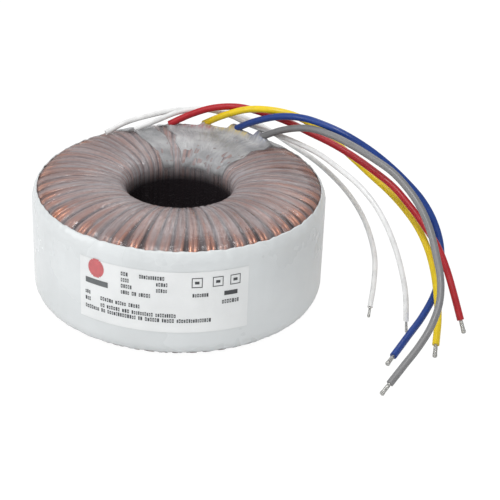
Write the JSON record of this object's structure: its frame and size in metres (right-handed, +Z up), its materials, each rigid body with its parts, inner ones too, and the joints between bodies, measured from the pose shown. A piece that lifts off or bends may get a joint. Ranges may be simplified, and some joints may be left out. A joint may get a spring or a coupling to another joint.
{
  "type": "toroidal transformer",
  "caption": "Ring-shaped mains transformer with copper windings under clear film, a white side band, an open centre hole and long coloured leads with bare tinned ends.",
  "frame": {"origin": "centre of the flat lower face, on the axis of the centre hole", "axes": "+Z up along the hole; the label faces -Y, the leads come out of the top near +Y and sweep over towards +X"},
  "size_m": [0.2083, 0.1635, 0.0847],
  "materials": {
    "core_steel": "wound silicon steel strip",
    "cap_plastic": "moulded black nylon",
    "core_tape": "pale polyester tape",
    "primary_wire": "thin enamelled copper wire",
    "barrier_film": "dark polyester film",
    "secondary_wire": "thick enamelled copper wire",
    "clear_film": "clear polyester film, hazy and wrinkled",
    "band_film": "glossy white polyester tape",
    "label_film": "white film label with plain marks",
    "pad_film": "layers of milky film over the lead exits",
    "white_insulation": "white PVC",
    "red_insulation": "red PVC",
    "yellow_insulation": "yellow PVC",
    "blue_insulation": "blue PVC",
    "grey_insulation": "grey PVC",
    "tinned_wire": "tinned copper with a bead of solder"
  },
  "bodies": {
    "root": {"core": "core_steel", "core_cap_bottom": "cap_plastic", "core_cap_top": "cap_plastic", "core_tape": "core_tape", "primary_winding": "primary_wire", "barrier_film": "barrier_film", "secondary_winding_a": "secondary_wire", "secondary_winding_b": "secondary_wire", "film_wrap": "clear_film", "side_band": "band_film", "rating_label": "label_film", "leadout_pad_primary": "pad_film", "leadout_pad_secondary": "pad_film", "lead_white_a": "white_insulation", "lead_white_b": "white_insulation", "lead_red": "red_insulation", "lead_yellow": "yellow_insulation", "lead_blue": "blue_insulation", "lead_grey": "grey_insulation", "tip_white_a": "tinned_wire", "tip_white_b": "tinned_wire", "tip_red": "tinned_wire", "tip_yellow": "tinned_wire", "tip_blue": "tinned_wire", "tip_grey": "tinned_wire"}
  },
  "joints": []
}
